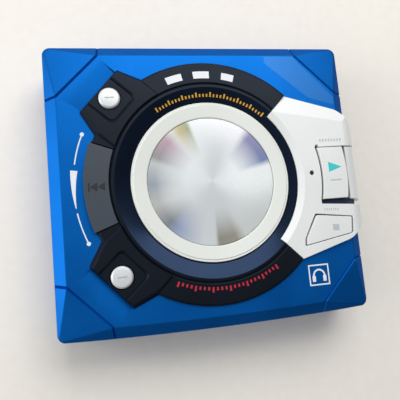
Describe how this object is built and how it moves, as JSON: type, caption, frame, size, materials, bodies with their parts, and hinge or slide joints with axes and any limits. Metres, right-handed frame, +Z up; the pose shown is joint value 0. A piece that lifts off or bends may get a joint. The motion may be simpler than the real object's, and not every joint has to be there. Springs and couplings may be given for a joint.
{
  "type": "portable disc player",
  "caption": "Pocket headphone player for cartridge discs: faceted hinged lid with round bezel and side key panel, swing-up cartridge holder, and a lower case with battery and disc drive.",
  "frame": {"origin": "on the underside of the lower case, straight below the centre of the round bezel", "axes": "+X to the side with the key panel, +Y to the hinge side, +Z up through the lid"},
  "size_m": [0.0818, 0.0731, 0.019],
  "materials": {
    "blue_shell": "satin blue lacquer over pressed aluminium",
    "black_plastic": "satin blue-black moulding",
    "silver_plastic": "pale silver paint",
    "satin_aluminium": "satin",
    "spun_aluminium": "spun, with fine concentric lines",
    "lamp_plastic": "smoked light guide",
    "circuit_board": "solder resist",
    "steel": "zinc plated",
    "white_plastic": "acetal",
    "dark_casting": "die cast",
    "lens_glass": "coated",
    "battery_can": "plain sleeve",
    "rubber": "soft"
  },
  "bodies": {
    "base": {"base_case": "blue_shell", "case_screw_1": "steel", "case_screw_2": "steel", "case_screw_3": "steel", "case_screw_4": "steel", "hinge_pin_left": "steel", "hinge_pin_right": "steel", "chassis": "steel", "damper_1": "rubber", "damper_2": "rubber", "damper_3": "rubber", "damper_4": "rubber", "guide_rod_main": "steel", "guide_rod_second": "steel", "main_board": "circuit_board", "headphone_jack": "black_plastic", "dc_jack": "black_plastic", "battery": "battery_can", "battery_contact": "steel", "door_pin": "steel", "hold_switch": "black_plastic", "spindle_motor": "steel", "feed_motor": "steel"},
    "lid": {"top_cover": "blue_shell", "ring_bezel": "black_plastic", "trim_ring": "satin_aluminium", "disc_plate": "spun_aluminium", "control_panel": "silver_plastic", "lamp_lens": "lamp_plastic", "key_board": "circuit_board", "lid_frame": "black_plastic"},
    "holder": {"cartridge_holder": "steel"},
    "play": {"play_key": "silver_plastic"},
    "stop": {"stop_key": "silver_plastic"},
    "skip": {"skip_key": "black_plastic"},
    "volume_up": {"volume_up_button": "satin_aluminium"},
    "volume_down": {"volume_down_button": "satin_aluminium"},
    "slider": {"open_slider": "silver_plastic"},
    "door": {"battery_door": "blue_shell"},
    "hold": {"hold_knob": "black_plastic"},
    "spinner": {"turntable": "steel"},
    "pickup": {"pickup_sled": "dark_casting", "objective_lens": "lens_glass"},
    "screw": {"feed_screw": "steel", "feed_gear": "white_plastic"},
    "pinion": {"motor_pinion": "white_plastic"}
  },
  "joints": [
    {"name": "lid_hinge", "type": "hinge", "parent": "base", "child": "lid", "pos_m": [0, 0.0343, 0.00935], "axis": [-1, 0, 0], "range_deg": [0, 35]},
    {"name": "holder_hinge", "type": "hinge", "parent": "base", "child": "holder", "pos_m": [0, 0.0343, 0.00935], "axis": [-1, 0, 0], "range_deg": [0, 17.5]},
    {"name": "play_press", "type": "slide", "parent": "lid", "child": "play", "axis": [0, 0, -1], "range_m": [0, 0.0004], "stiffness_N_per_m": 800},
    {"name": "stop_press", "type": "slide", "parent": "lid", "child": "stop", "axis": [0, 0, -1], "range_m": [0, 0.0004], "stiffness_N_per_m": 800},
    {"name": "skip_press", "type": "slide", "parent": "lid", "child": "skip", "axis": [0, 0, -1], "range_m": [0, 0.0004], "stiffness_N_per_m": 800},
    {"name": "volume_up_press", "type": "slide", "parent": "lid", "child": "volume_up", "axis": [0, 0, -1], "range_m": [0, 0.0004], "stiffness_N_per_m": 800},
    {"name": "volume_down_press", "type": "slide", "parent": "lid", "child": "volume_down", "axis": [0, 0, -1], "range_m": [0, 0.0004], "stiffness_N_per_m": 800},
    {"name": "open_slide", "type": "slide", "parent": "lid", "child": "slider", "axis": [0, -1, 0], "range_m": [0, 0.001], "stiffness_N_per_m": 500},
    {"name": "battery_door_hinge", "type": "hinge", "parent": "base", "child": "door", "pos_m": [-0.0392, -0.01675, 0.004], "axis": [0, 0, -1], "range_deg": [0, 90]},
    {"name": "hold_slide", "type": "slide", "parent": "base", "child": "hold", "axis": [0, -1, 0], "range_m": [0, 0.003]},
    {"name": "turntable_spin", "type": "hinge", "parent": "base", "child": "spinner", "pos_m": [0, -0.0008, 0.007], "axis": [0, 0, 1], "continuous": true},
    {"name": "pickup_feed", "type": "slide", "parent": "base", "child": "pickup", "axis": [1, 0, 0], "range_m": [0, 0.016]},
    {"name": "feed_screw_turn", "type": "hinge", "parent": "base", "child": "screw", "pos_m": [0.02, 0.011, 0.004], "axis": [1, 0, 0], "range_deg": [-5, 2885]},
    {"name": "pinion_turn", "type": "hinge", "parent": "base", "child": "pinion", "pos_m": [0.006, 0.01405, 0.004], "axis": [1, 0, 0], "range_deg": [-5770, 10]}
  ],
  "couplings": [
    {"joint": "holder_hinge", "follows": "lid_hinge", "ratio": 0.5},
    {"joint": "feed_screw_turn", "follows": "pickup_feed", "rad_per_m": 3141.6},
    {"joint": "pinion_turn", "follows": "pickup_feed", "rad_per_m": -6283.2}
  ]
}
